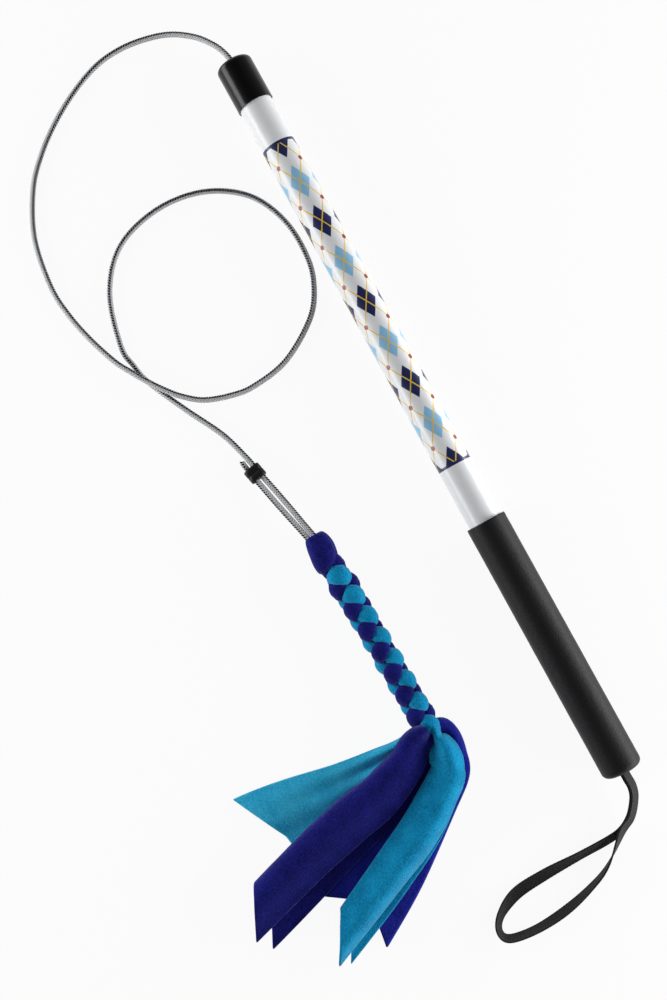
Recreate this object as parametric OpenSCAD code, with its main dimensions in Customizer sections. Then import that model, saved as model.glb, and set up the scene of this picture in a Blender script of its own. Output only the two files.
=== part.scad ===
// Dog flirt pole: a plastic pole with a slip-on tip cap, a foam grip and a wrist strap,
// and an elastic cord that ends in a loop through a braided fleece lure.
// The pole's axis is X, with the tip at +X. The origin is on that axis at the middle of the grip,
// and the part lies on the level plane that the grip rests on.

/* [Pole] */
// Outer diameter of the plastic tube
tube_d = 26.7; // [22:0.1:34]
// Wall of the tube
tube_wall = 2.9; // [1.5:0.1:3.5]
// Length of the tube
tube_len = 609; // [560:1:640]

/* [Tip cap] */
// Length of the slip-on cap
cap_len = 38; // [28:1:60]
// Side wall of the cap
cap_wall = 1.15; // [0.9:0.05:2]
// End wall of the cap
cap_end_wall = 3; // [2.4:0.1:5]
// Radius of the cap's outer end edge
cap_edge_r = 4.5; // [1:0.1:5]
// Radial clearance between the cap and the tube
cap_clear = 0.1; // [0.05:0.05:0.3]

/* [Grip] */
// Outer diameter of the foam grip
grip_d = 31.5; // [29:0.1:40]
// Length of the foam grip
grip_len = 212; // [140:1:300]
// Thickness of the grip's closed butt end
grip_end_wall = 2.5; // [1.5:0.1:6]
// Radius of the butt's rounded edge
grip_edge_r = 5; // [1:0.1:8]
// Radius of the rim at the grip's open end
grip_rim_r = 0.8; // [0.3:0.1:1.2]

/* [Butt plug] */
// Length of the plug inside the tube
plug_len = 16; // [8:0.5:30]
// Thickness of the plug's flange against the tube's end
plug_flange = 1.2; // [0.8:0.1:3]

/* [Wrist strap] */
// Width of the webbing
strap_w = 10; // [6:0.1:11]
// Thickness of the webbing
strap_t = 1.3; // [0.8:0.1:1.8]
// Reach of the strap's loop from the butt
strap_reach = 140; // [100:1:200]
// Length of doubled webbing that stands out of the butt
strap_stem = 3; // [2:0.1:8]
// Length of the knot that holds the strap behind the plug
strap_knot_len = 9; // [6:0.1:14]
// Diameter of the knot that holds the strap behind the plug
strap_knot_d = 15; // [13:0.1:18]

/* [Elastic cord] */
// Diameter of the elastic cord
cord_d = 4.4; // [3:0.1:5]
// Diameter of the stopper knot inside the cap
cord_knot_d = 11; // [9:0.1:16]
// Length of the stopper knot inside the cap
cord_knot_len = 10; // [7:0.1:16]
// Outer diameter of the washer behind the cap's end wall
washer_d = 18; // [14:0.1:20]
// Thickness of the washer
washer_t = 1.5; // [0.8:0.1:3]
// Length of cord that leaves the cap straight
cord_neck = 3; // [1:0.1:8]

/* [Loop and clamp] */
// Length of the clamp along the cord
clamp_len = 11; // [8:0.1:16]
// Width of the clamp across both strands
clamp_w = 13.8; // [12:0.1:18]
// Height of the clamp
clamp_h = 8; // [6.5:0.1:11]
// Gap between the two strands of the loop
strand_gap = 1.4; // [1.2:0.1:4]
// Length of the cut end that stands out of the clamp
cord_stub = 6; // [2:0.1:15]
// Length of the loop from the clamp's middle to its bight
loop_len = 70; // [50:1:110]

/* [Lure] */
// Length of the fleece knot at the head of the lure
head_len = 32; // [28:1:45]
// Diameter of the fleece knot
head_d = 23; // [20:0.5:30]
// Diameter of the knot's mouth, where the cord goes in
head_mouth_d = 17.5; // [16.5:0.1:19]
// Depth of the cord's bight inside the mouth
bight_depth = 6; // [5:0.1:8]
// Length of the braid
braid_len = 140; // [80:1:220]
// Outer diameter of the braid
braid_d = 18.4; // [16:0.1:24]
// Length of braid in which a strip goes once round
braid_pitch = 36; // [28:1:60]
// Width of a strip inside the braid
braid_strip_w = 8.8; // [7:0.1:9.2]
// Length of the loose tails
tail_len = 185; // [120:1:260]
// Width of a fleece strip laid flat
strip_w = 88; // [64:1:100]
// Thickness of the fleece
strip_t = 2.4; // [1.6:0.1:2.8]

/* [Hidden] */
$fn = 64;
// overrun of every cut
over = 0.5;
// running clearance of soft pieces on different bodies, and of pieces laid on one another
soft_gap = 0.3;
// running clearance of the cord in the cap's hole and of the strap in its slot
hole_clear = 0.4;

// Pole: places along X
grip_r = grip_d / 2;
tube_r = tube_d / 2;
bore_r = tube_r - tube_wall;
floor_z = -grip_r;
butt_x = -grip_len / 2;
tube_x0 = butt_x + grip_end_wall + plug_flange;
tube_x1 = tube_x0 + tube_len;
cap_x1 = tube_x1 + cap_end_wall;
cap_x0 = cap_x1 - cap_len;
cap_bore_r = tube_r + cap_clear;
cap_r = cap_bore_r + cap_wall;
cord_r = cord_d / 2;
cord_hole_r = cord_r + hole_clear;
neck_x = cap_x1 + cord_neck;

// Strap: the doubled webbing leaves the butt with its width turned up from level
strap_turn = 130;
ply_gap = 0.2;
stem_t = 2 * strap_t + ply_gap;
stem_x = butt_x - strap_stem;
// the fold at the end of the doubled webbing, a little thicker and wider than the plies
nose_r = (stem_t + ply_gap) / 2;
nose_w = strap_w + ply_gap;
hinge_x = stem_x - 2 * nose_r - soft_gap;
slot_x = butt_x - over;
knot_x = tube_x0 + plug_len;
// Route of the strap from its hinge, out along one side and back along the other:
// x and y in shares of the reach, height left to fall as a share, turn of the webbing, share of doubling
strap_route_shares = [
    [0.00, 0.00, 1.00, 130, 1], [-0.05, 0.00, 0.96, 130, 1], [-0.11, 0.02, 0.80, 130, 1],
    [-0.19, 0.08, 0.52, 131, 1], [-0.24, 0.16, 0.24, 132, 1], [-0.25, 0.26, 0.08, 142, 0],
    [-0.25, 0.43, 0.00, 160, 0], [-0.25, 0.63, 0.00, 177, 0], [-0.265, 0.81, 0.00, 165, 0],
    [-0.32, 0.935, 0.00, 132, 0], [-0.39, 0.985, 0.00, 98, 0], [-0.45, 0.955, 0.00, 72, 0],
    [-0.475, 0.81, 0.00, 53, 0], [-0.465, 0.63, 0.00, 50, 0], [-0.425, 0.455, 0.00, 52, 0],
    [-0.365, 0.31, 0.05, 54, 0], [-0.24, 0.16, 0.24, 48, 1], [-0.19, 0.08, 0.52, 49, 1],
    [-0.11, 0.02, 0.80, 50, 1], [-0.05, 0.00, 0.96, 50, 1], [0.00, 0.00, 1.00, 50, 1]];

// Loop: the frame of the doubled cord, from its bight back to the clamp
bight_z = floor_z + head_d / 2 + soft_gap;
bight_x = 154;
bight_y = 120.5;
bight_at = [bight_x, bight_y, bight_z];
clamp_rise = 0.9;
clamp_z = floor_z + clamp_h / 2 + clamp_rise;
clamp_corner_share = 0.42;
loop_turn = 192.5;
loop_dip_turn = -asin((bight_z - clamp_z) / loop_len);
strand_y = (cord_d + strand_gap) / 2;
clamp_x = -loop_len;
lure_turn = 182.5;
// angle each way that the lure swings, with what the knot's mouth leaves free past it
swing_turn = 30;
swing_spare_turn = 3;
swing_room_turn = swing_turn + swing_spare_turn;
head_outline_shares = [
    [0.14, 0.9], [0.3, 0.98], [0.45, 1], [0.65, 0.98], [0.82, 0.87], [0.94, 0.72], [1, 0.58]];

// Route of the elastic cord from the cap to the clamp, in hand-chosen points
cord_route = [
    [517, 0.8, -0.4], [523, 2.5, -1], [531, 6, -2.6], [544, 14.5, -6.4], [557, 29.5, -10.8],
    [564, 47, -13], [567, 69, -13.5], [564.5, 92, -13.5], [554.5, 117, -13.5], [539.5, 142, -13.5],
    [521.5, 164, -13.5], [500, 182.5, -13.5], [465, 199.5, -13.5], [425.5, 206, -13.5],
    [398.5, 204, -13.3], [373, 198, -12.6], [349, 189.5, -10.6], [337, 183, -9.2], [323, 174.5, -8.6],
    [310.5, 165.5, -8.8], [300.5, 156.5, -10.2], [290.5, 143, -12.2], [284, 123, -13.5],
    [282, 104.5, -13.5], [287.5, 74, -13.5], [306.5, 43, -13.5], [326, 28, -13.5], [350, 20.5, -13.5],
    [384.5, 22, -13.5], [415.5, 37, -13.5], [435.5, 67.5, -13.5], [440, 106, -13.5],
    [428, 144, -13.5], [399, 168.5, -13.5], [358.5, 180, -13.5], [340.5, 178.5, -13.5],
    [323.5, 174.5, -13.5], [291.5, 159.5, -13.5], [260.5, 143.5, -13]];
cord_rings = 78;
cord_sides = 10;

// Braid: the strips go round in two pairs, and weave out and in as they cross
braid_x0 = head_len - bight_depth + soft_gap;
braid_x1 = braid_x0 + braid_len;
lure_floor = floor_z - bight_at[2];
braid_z = lure_floor + braid_d / 2 + soft_gap;
braid_t_share = 0.19;
braid_mean_share = 0.56;
braid_strip_t = braid_d * braid_t_share;
braid_mean_r = braid_d / 2 * braid_mean_share;
braid_wave = (braid_d - braid_strip_t) / 2 - braid_mean_r;
braid_face_turn = 25;
// share of its width that a strip loses where another squeezes it against the core
braid_pinch_share = 0.5;
braid_bow_share = 0.02;
braid_rings = 52;
braid_sides = 10;

// Tails: spine of each from the end of its strip in the braid, in shares of the tail's length,
// with its height left to fall as a share and its width as a share of the strip's width
tail_back_left_shares = [
    [0.00, 0.00, 1.00, 0.09], [0.03, -0.065, 0.35, 0.24], [0.065, -0.175, 0.00, 0.44],
    [0.085, -0.375, 0.00, 0.68], [0.085, -0.575, 0.00, 0.90], [0.075, -0.74, 0.00, 0.98]];
tail_front_left_shares = [
    [0.00, -0.005, 1.00, 0.09], [0.06, -0.065, 0.55, 0.205], [0.11, -0.16, 0.10, 0.34],
    [0.145, -0.37, 0.00, 0.40], [0.185, -0.59, 0.00, 0.41], [0.27, -0.92, 0.00, 0.45]];
tail_front_right_shares = [
    [0.00, 0.01, 0.90, 0.09], [0.09, 0.025, 0.65, 0.19], [0.19, -0.025, 0.33, 0.28],
    [0.29, -0.175, 0.00, 0.35], [0.40, -0.425, 0.00, 0.39], [0.55, -0.755, 0.00, 0.41]];
tail_back_right_shares = [
    [0.00, 0.005, 0.95, 0.08], [0.08, 0.035, 0.30, 0.19], [0.185, -0.015, 0.00, 0.29],
    [0.30, -0.20, 0.00, 0.38], [0.42, -0.43, 0.00, 0.56], [0.505, -0.645, 0.00, 0.63]];
// length of a tail's start inside the end of its strand
tail_seat = 2;
tail_rings = 16;
fold_steps = 12;
// steps across a folded tail crowd towards its fold by this power
fold_crowding = 1.6;
// half of the air between the two layers of a folded tail
fold_air = 1;
fold_r = strip_t / 2 + fold_air;
fold_puff_share = 0.06;
wave_share = 0.018;
cut_back_share = -0.32;
cut_short_share = 0.85;
cut_long_share = 1.15;
under_short_share = 0.92;
under_long_share = 1.12;
// height of the tails that lie on others
upper_lay = strip_t + wave_share * strip_w + 2 * soft_gap;
// angle at which the left turquoise strip leaves the braid, and from it to the strip beside it
strip_left_turn = 250;
strip_next_turn = 90;

fleece_purple = [0.24, 0.2, 0.56];
fleece_turquoise = [0.13, 0.6, 0.76];
webbing_black = [0.08, 0.07, 0.08];

// Curves and swept solids
function unit(v) = v / norm(v);
function spline(p, i, t) =
    let (a = p[max(i - 1, 0)], b = p[i], c = p[i + 1], d = p[min(i + 2, len(p) - 1)])
    (2 * b + (c - a) * t + (2 * a - 5 * b + 4 * c - d) * t * t
        + (3 * b - a - 3 * c + d) * t * t * t) / 2;
function along(p, share) =
    let (s = min(max(share, 0), 1) * (len(p) - 1), i = min(floor(s), len(p) - 2))
    spline(p, i, s - i);
function resample(p, count) = [for (i = [0 : count - 1]) along(p, i / (count - 1))];
function heading(p, i) = unit(p[min(i + 1, len(p) - 1)] - p[max(i - 1, 0)]);
function level_left(t) = unit([-t[1], t[0], 0]);
function xyz(p) = [p[0], p[1], p[2]];

// Closed rings with the same even number of points, joined into one solid
module loft(rings) {
    n = len(rings[0]);
    last = (len(rings) - 1) * n;
    sides = [for (r = [0 : len(rings) - 2], i = [0 : n - 1])
        let (a = r * n + i, b = r * n + (i + 1) % n)
        each [[a, a + n, b], [b, a + n, b + n]]];
    start = [for (i = [0 : n / 2 - 2]) each [[i, i + 1, n - 2 - i], [i, n - 2 - i, n - 1 - i]]];
    finish = [for (f = start) [f[2] + last, f[1] + last, f[0] + last]];
    polyhedron([for (ring = rings) each ring], concat(sides, start, finish), convexity = 8);
}

function round_ring(at, t, r, sides) =
    let (left = level_left(t), up = cross(t, left))
    [for (k = [0 : sides - 1]) at + r * (cos(360 * k / sides) * left + sin(360 * k / sides) * up)];

function tube_rings(path, r, sides, first, last) =
    [for (i = [0 : len(path) - 1])
        round_ring(path[i], i == 0 ? first : i == len(path) - 1 ? last : heading(path, i), r, sides)];

function arc(centre, r, from, to, steps) =
    [for (i = [0 : steps])
        let (a = from + (to - from) * i / steps)
        centre + r * [cos(a), sin(a)]];

// Shapes about the pole's axis, with the shape's Z laid along X from x
module axial(x) { translate([x, 0, 0]) rotate([0, 90, 0]) children(); }

// A flat bar of doubled webbing along the axis, turned as the strap leaves the butt
module strap_bar(x0, x1, width, thick) {
    translate([x0, 0, 0]) rotate([180 - strap_turn, 0, 0])
        translate([0, -width / 2, -thick / 2]) cube([x1 - x0, width, thick]);
}

// The rounded fold of the webbing, across the axis at x
module strap_nose(x) {
    translate([x, 0, 0]) rotate([90 - strap_turn, 0, 0])
        cylinder(h = nose_w, r = nose_r, center = true);
}

module pole_tube() {
    color("white") axial(tube_x0) difference() {
        cylinder(h = tube_len, r = tube_r);
        translate([0, 0, -over]) cylinder(h = tube_len + 2 * over, r = bore_r);
    }
}

module tip_cap() {
    edge = min(cap_edge_r, cap_end_wall + cap_wall);
    outline = concat(
        [[cap_bore_r, 0], [cap_r, 0]],
        arc([cap_r - edge, cap_len - edge], edge, 0, 90, 8),
        [[cord_hole_r, cap_len], [cord_hole_r, cap_len - cap_end_wall],
         [cap_bore_r, cap_len - cap_end_wall]]);
    color([0.09, 0.09, 0.1]) axial(cap_x0) rotate_extrude() polygon(outline);
}

module foam_grip() {
    outline = concat(
        [[0, 0]],
        arc([grip_r - grip_edge_r, grip_edge_r], grip_edge_r, -90, 0, 8),
        arc([grip_r - grip_rim_r, grip_len - grip_rim_r], grip_rim_r, 0, 90, 4),
        [[tube_r, grip_len], [tube_r, grip_end_wall], [0, grip_end_wall]]);
    color([0.13, 0.13, 0.14]) difference() {
        axial(butt_x) rotate_extrude() polygon(outline);
        strap_bar(slot_x, tube_x0, strap_w + 2 * hole_clear, stem_t + 2 * hole_clear);
    }
}

module butt_plug() {
    color([0.3, 0.3, 0.32]) difference() {
        union() {
            axial(butt_x + grip_end_wall) cylinder(h = plug_flange, r = tube_r);
            axial(tube_x0) cylinder(h = plug_len, r = bore_r);
        }
        strap_bar(slot_x, knot_x + over, strap_w + 2 * hole_clear, stem_t + 2 * hole_clear);
    }
}

// A knot as a barrel that narrows at both ends
module knot_barrel(d, len) {
    neck_share = 0.72;
    round_share = 0.25;
    rotate_extrude() polygon([
        [0, 0], [d / 2 * neck_share, 0], [d / 2, len * round_share],
        [d / 2, len * (1 - round_share)], [d / 2 * neck_share, len], [0, len]]);
}

module strap_anchor() {
    color(webbing_black) {
        strap_bar(stem_x, knot_x + strap_knot_len / 2, strap_w, stem_t);
        strap_nose(stem_x);
        axial(knot_x) knot_barrel(strap_knot_d, strap_knot_len);
    }
}

function strap_point(p) =
    let (rest_z = floor_z + soft_gap + (strap_w * abs(sin(p[3])) + strap_t * abs(cos(p[3]))) / 2)
    [hinge_x + p[0] * strap_reach, p[1] * strap_reach, rest_z * (1 - p[2]), p[3], p[4]];
strap_rings_count = 61;
strap_path = [for (p = resample(strap_route_shares, strap_rings_count)) strap_point(p)];
strap_line = [for (p = strap_path) xyz(p)];
function strap_ring(i) =
    let (
        at_end = i == 0 || i == strap_rings_count - 1,
        t = at_end ? [i == 0 ? -1 : 1, 0, 0] : heading(strap_line, i),
        left = level_left(t), turn = strap_path[i][3],
        w = cos(turn) * left + sin(turn) * cross(t, left),
        n = cross(t, w),
        at = strap_line[i] + n * max(strap_path[i][4], 0) * (strap_t + ply_gap) / 2,
        a = w * strap_w / 2, b = n * strap_t / 2)
    [at + a - b, at + a + b, at - a + b, at - a - b];

module wrist_strap() {
    color(webbing_black) {
        loft([for (i = [0 : strap_rings_count - 1]) strap_ring(i)]);
        strap_nose(hinge_x);
    }
}

module cord_washer() {
    color("silver") axial(tube_x1 - washer_t) difference() {
        cylinder(h = washer_t, r = washer_d / 2);
        translate([0, 0, -over]) cylinder(h = washer_t + 2 * over, r = cord_hole_r);
    }
}

module cord_knot() {
    knot_x0 = tube_x1 - washer_t - cord_knot_len;
    color([0.8, 0.8, 0.8]) {
        axial(knot_x0) knot_barrel(cord_knot_d, cord_knot_len);
        axial(knot_x0) cylinder(h = neck_x - knot_x0, r = cord_r);
    }
}

// The loop's own frame: X runs down the two strands to the bight, which is its origin
module loop_frame() { translate(bight_at) rotate([0, loop_dip_turn, loop_turn]) children(); }
loop_dir = [cos(loop_dip_turn) * cos(loop_turn), cos(loop_dip_turn) * sin(loop_turn), -sin(loop_dip_turn)];
loop_side = [-sin(loop_turn), cos(loop_turn), 0];
cord_end = bight_at - loop_dir * (loop_len + clamp_len / 2) + loop_side * strand_y;

cord_path = resample(
    concat([[neck_x, 0, 0]], cord_route, [cord_end - loop_dir * 2 * cord_d, cord_end]), cord_rings);
// points this many places apart along the cord are neighbours, not a crossing
cord_near = 8;
cord_least_gap = min([for (i = [0 : cord_rings - 1], j = [i + cord_near : 1 : cord_rings - 1])
    norm(cord_path[i] - cord_path[j])]) - cord_d;
cord_free_len = ruler(cord_path, 1);
function ruler(p, i) = i >= len(p) ? 0 : norm(p[i] - p[i - 1]) + ruler(p, i + 1);
echo(cord_length = cord_free_len, cord_least_gap = cord_least_gap);

module bungee_cord() {
    color([0.85, 0.85, 0.86]) loft(tube_rings(cord_path, cord_r, cord_sides, [1, 0, 0], loop_dir));
}

module bungee_loop() {
    back_x = clamp_x - clamp_len / 2;
    color([0.85, 0.85, 0.86]) loop_frame() {
        translate([0, strand_y, 0]) axial(back_x) cylinder(h = -strand_y - back_x, r = cord_r);
        translate([0, -strand_y, 0]) axial(back_x - cord_stub)
            cylinder(h = -strand_y - back_x + cord_stub, r = cord_r);
        translate([-strand_y, 0, 0]) rotate([0, 0, -90])
            rotate_extrude(angle = 180) translate([strand_y, 0]) circle(r = cord_r);
    }
}

module loop_clamp() {
    corner = clamp_h * clamp_corner_share;
    across = clamp_w / 2 - corner;
    up = clamp_h / 2 - corner;
    outline = concat(
        arc([across, up], corner, 0, 90, 5), arc([-across, up], corner, 90, 180, 5),
        arc([-across, -up], corner, 180, 270, 5), arc([across, -up], corner, 270, 360, 5));
    color([0.12, 0.12, 0.13]) loop_frame() translate([clamp_x, 0, 0]) difference() {
        rotate([90, 0, 90]) linear_extrude(height = clamp_len, center = true) polygon(outline);
        for (side = [-1, 1])
            translate([0, side * strand_y, 0])
                axial(-clamp_len / 2 - over) cylinder(h = clamp_len + 2 * over, r = cord_r);
    }
}

// The lure's own frame: X runs from the bight to the tails
module lure_frame() { translate(bight_at) rotate([0, 0, lure_turn]) children(); }

module lure_head() {
    room_r = cord_r + soft_gap;
    room_w = 2 * (strand_y + room_r);
    room_x = bight_depth + head_mouth_d / 2;
    web_r = bight_depth - soft_gap - over;
    outline = concat(
        [[0, 0], [head_mouth_d / 2, 0]],
        [for (s = head_outline_shares) [head_d / 2 * s[1], head_len * s[0]]],
        [[0, head_len]]);
    room_h = room_r / cos(swing_room_turn) + room_x * tan(swing_room_turn);
    wedge = [room_r * [sin(swing_room_turn), cos(swing_room_turn)], room_r * [sin(swing_room_turn), -cos(swing_room_turn)],
        [-room_x, -room_h], [-room_x, room_h]];
    color(fleece_purple) difference() {
        union() {
            difference() {
                lure_frame() axial(-bight_depth) rotate_extrude() polygon(outline);
                loop_frame() rotate([90, 0, 0]) {
                    linear_extrude(height = room_w, center = true) polygon(wedge);
                    cylinder(h = room_w, r = room_r, center = true);
                }
            }
            loop_frame() rotate([90, 0, 0])
                cylinder(h = strand_gap - 2 * soft_gap, r = web_r, center = true);
        }
        loop_frame() rotate([90, 0, 0]) cylinder(h = room_w, r = room_r, center = true);
    }
}

// Braid: a strip's middle at a share of the braid's length, by its angle at the braid's end
function strip_angle(share, finish, spin) =
    finish + spin * 360 * (share - 1) * braid_len / braid_pitch;
function strip_rise(a, spin) = spin * cos(2 * (a - braid_face_turn));
function strip_middle(share, finish, spin) =
    let (a = strip_angle(share, finish, spin),
         r = braid_mean_r + braid_wave * strip_rise(a, spin))
    [braid_x0 + share * braid_len,
     r * sin(a) + braid_len * braid_bow_share * sin(180 * share),
     braid_z + r * cos(a)];
function strip_ring(path, i, finish, spin) =
    let (a = strip_angle(i / (braid_rings - 1), finish, spin),
         at_end = i == 0 || i == braid_rings - 1,
         t = at_end ? [1, 0, 0] : heading(path, i),
         b = unit(cross([0, sin(a), cos(a)], t)),
         n = cross(t, b),
         w = braid_strip_w * (1 - braid_pinch_share * (1 - strip_rise(a, spin)) / 2))
    [for (k = [0 : braid_sides - 1])
        path[i] + cos(360 * k / braid_sides) * b * w / 2
            + sin(360 * k / braid_sides) * n * braid_strip_t / 2];
module braided_strip(finish, spin) {
    path = [for (i = [0 : braid_rings - 1]) strip_middle(i / (braid_rings - 1), finish, spin)];
    loft([for (i = [0 : braid_rings - 1]) strip_ring(path, i, finish, spin)]);
}

// Tails: a folded section doubles back round its fold; a flat one waves a little
function fold_across(x, r) =
    abs(x) > PI * r / 2 ? r + abs(x) - PI * r / 2 : r * (1 - cos(x / r * 180 / PI));
function fold_angle(x, r) = min(max(x / r * 180 / PI, -90), 90);
function folded_section(w, side, under_share) =
    let (r = fold_r, top = w - r + PI * r / 2,
         xs = [for (k = [0 : fold_steps])
            let (s = 2 * k / fold_steps - 1)
            (s < 0 ? -top : under_share * top) * pow(abs(s), fold_crowding)])
    [for (k = [0 : fold_steps])
        let (x = side < 0 ? xs[k] : xs[fold_steps - k], a = fold_angle(x, r),
             puff = x < 0 ? fold_puff_share * w * sin(180 * min(-x / top, 1)) : 0)
        [side * (w / 2 - fold_across(x, r)), r + strip_t / 2 - r * sin(a) + puff, side * cos(a), -sin(a)]];
function flat_section(w, share) =
    [for (k = [0 : fold_steps])
        let (s = k / fold_steps)
        [w * (0.5 - s), strip_t / 2 + wave_share * w * share * (1 - cos(720 * s)) / 2, 0, 1]];

function tail_ring(shares, start, i, lay, side, under_share, cut_share) =
    let (
        path = resample(shares, tail_rings),
        line = [for (p = path) [p[0] * tail_len, p[1] * tail_len, 0]],
        t = heading(line, i), left = level_left(t), v = i / (tail_rings - 1), p = path[i],
        fall = min(max(p[2], 0), 1),
        w = p[3] * strip_w,
        section = side == 0 ? flat_section(w, v) : folded_section(w, side, under_share),
        z = (lure_floor + lay) * (1 - fall) + (start[2] - strip_t) * fall,
        place = function (q, off)
            [start[0], start[1], z] + line[i] + left * (q[0] + q[2] * off) + [0, 0, q[1] + q[3] * off]
                + t * q[0] * cut_share * v * v)
    concat(
        [for (q = section) place(q, strip_t / 2)],
        [for (k = [fold_steps : -1 : 0]) place(section[k], -strip_t / 2)]);
// A strip of the lure: its strand in the braid, and its tail from the strand's end
module fleece_strip(finish, spin, shares, lay, side = 0, under_share = 0, cut_share = 0) {
    start = strip_middle(1, finish, spin) - [tail_seat, 0, 0];
    lure_frame() {
        braided_strip(finish, spin);
        loft([for (i = [0 : tail_rings - 1])
            tail_ring(shares, start, i, lay, side, under_share, cut_share)]);
    }
}

module strip_turquoise_left() {
    color(fleece_turquoise)
        fleece_strip(strip_left_turn, 1, tail_back_left_shares, soft_gap, cut_share = cut_back_share);
}
module strip_purple_left() {
    color(fleece_purple)
        fleece_strip(strip_left_turn + strip_next_turn, -1, tail_front_left_shares, upper_lay,
            -1, under_long_share, cut_short_share);
}
module strip_turquoise_right() {
    color(fleece_turquoise)
        fleece_strip(strip_left_turn + 2 * strip_next_turn, 1, tail_front_right_shares, upper_lay,
            1, under_short_share, cut_long_share);
}
module strip_purple_right() {
    color(fleece_purple)
        fleece_strip(strip_left_turn - strip_next_turn, -1, tail_back_right_shares, soft_gap);
}

pole_tube();
tip_cap();
foam_grip();
butt_plug();
strap_anchor();
wrist_strap();
cord_washer();
cord_knot();
bungee_cord();
bungee_loop();
loop_clamp();
lure_head();
strip_turquoise_left();
strip_turquoise_right();
strip_purple_left();
strip_purple_right();
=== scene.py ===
import math

import bmesh
import bpy
import numpy as np
from mathutils import Matrix, Vector, noise


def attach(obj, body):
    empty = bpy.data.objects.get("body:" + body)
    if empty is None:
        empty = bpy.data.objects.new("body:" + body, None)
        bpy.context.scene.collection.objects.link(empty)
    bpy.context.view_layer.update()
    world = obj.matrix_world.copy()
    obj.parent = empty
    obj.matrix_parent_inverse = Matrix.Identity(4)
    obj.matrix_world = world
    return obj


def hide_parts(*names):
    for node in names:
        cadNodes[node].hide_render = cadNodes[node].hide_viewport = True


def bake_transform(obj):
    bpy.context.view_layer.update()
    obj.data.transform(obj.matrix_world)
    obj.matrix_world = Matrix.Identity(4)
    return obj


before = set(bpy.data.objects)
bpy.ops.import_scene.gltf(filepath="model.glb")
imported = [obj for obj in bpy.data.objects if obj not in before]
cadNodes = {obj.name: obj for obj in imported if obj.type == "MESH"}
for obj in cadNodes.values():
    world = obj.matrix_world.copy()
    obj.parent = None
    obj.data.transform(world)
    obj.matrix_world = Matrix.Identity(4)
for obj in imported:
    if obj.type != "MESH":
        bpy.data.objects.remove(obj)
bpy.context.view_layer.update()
scene = bpy.context.scene
mm = 0.001
floorZ = -15.75  # the pole's foam grip rests on the floor; the pole's axis is z = 0
print("frame loaded:", len(cadNodes), "CAD nodes")


def linear(hexText):  # an sRGB hex colour as the linear one that a socket takes
    parts = [int(hexText[i:i + 2], 16) / 255 for i in (1, 3, 5)]
    return [c / 12.92 if c <= 0.04045 else ((c + 0.055) / 1.055) ** 2.4 for c in parts] + [1]


def newObject(name, data):
    item = bpy.data.objects.new(name, data)
    scene.collection.objects.link(item)
    return item


def coat(piece, material):
    piece.data.materials.clear()
    piece.data.materials.append(material)


def linkInputs(tree, node, links):
    for socket, source in links.items():
        tree.links.new(source, node.inputs[socket])


def addNode(tree, kind, links=None, values=None, **settings):
    node = tree.nodes.new(kind)
    for name, value in settings.items():
        setattr(node, name, value)
    for socket, value in (values or {}).items():
        node.inputs[socket].default_value = value
    linkInputs(tree, node, links or {})
    return node


def newMaterial(name, values):
    material = bpy.data.materials.new(name)
    material.use_nodes = True
    shader = material.node_tree.nodes["Principled BSDF"]
    for socket, value in values.items():
        shader.inputs[socket].default_value = value
    return material, material.node_tree, shader


def smoothThrough(points, steps):  # a smooth curve through every point, steps to each stretch
    p = np.asarray(points, float)
    out = []
    for i in range(len(p) - 1):
        a, b, c, d = p[max(i - 1, 0)], p[i], p[i + 1], p[min(i + 2, len(p) - 1)]
        for t in np.arange(steps) / steps:
            out.append((2 * b + (c - a) * t + (2 * a - 5 * b + 4 * c - d) * t * t
                        + (3 * b - a - 3 * c + d) * t ** 3) / 2)
    return np.array(out + [p[-1]])


def smoothStep(low, high, value):
    t = np.clip((value - low) / (high - low), 0, 1)
    return t * t * (3 - 2 * t)


def headings(points):
    step = np.gradient(points, axis=0)
    return step / np.linalg.norm(step, axis=1, keepdims=True)


def runLengths(points):  # length along the path at each of its points
    return np.concatenate([[0], np.cumsum(np.linalg.norm(np.diff(points, axis=0), axis=1))])


def skinRows(name, rows, wrap=True, caps=(False, False), uv=None):
    # rows of points in mm joined by quads: wrap closes each row, caps fill the first and the last
    rows = np.asarray(rows, float)
    count, n = rows.shape[:2]
    faces = [(r * n + i, r * n + (i + 1) % n, (r + 1) * n + (i + 1) % n, (r + 1) * n + i)
             for r in range(count - 1) for i in range(n if wrap else n - 1)]
    if caps[0]:
        faces.append(tuple(range(n))[::-1])
    if caps[1]:
        faces.append(tuple((count - 1) * n + i for i in range(n)))
    mesh = bpy.data.meshes.new(name)
    mesh.from_pydata((rows.reshape(-1, 3) * mm).tolist(), [], faces)
    if uv is not None:
        layer = mesh.uv_layers.new(name="UVMap")
        corners = np.zeros(len(mesh.loops), np.int32)
        mesh.loops.foreach_get("vertex_index", corners)
        layer.data.foreach_set("uv", np.asarray(uv, np.float32).reshape(-1, 2)[corners].ravel())
    work = bmesh.new()
    work.from_mesh(mesh)
    if wrap:
        bmesh.ops.recalc_face_normals(work, faces=work.faces)
    for face in work.faces:
        face.smooth = True
    work.to_mesh(mesh)
    work.free()
    return newObject(name, mesh)


def dress(piece, material, body, replaced):
    if material:
        coat(piece, material)
    if body:
        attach(piece, body)
    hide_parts(*replaced)


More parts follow.
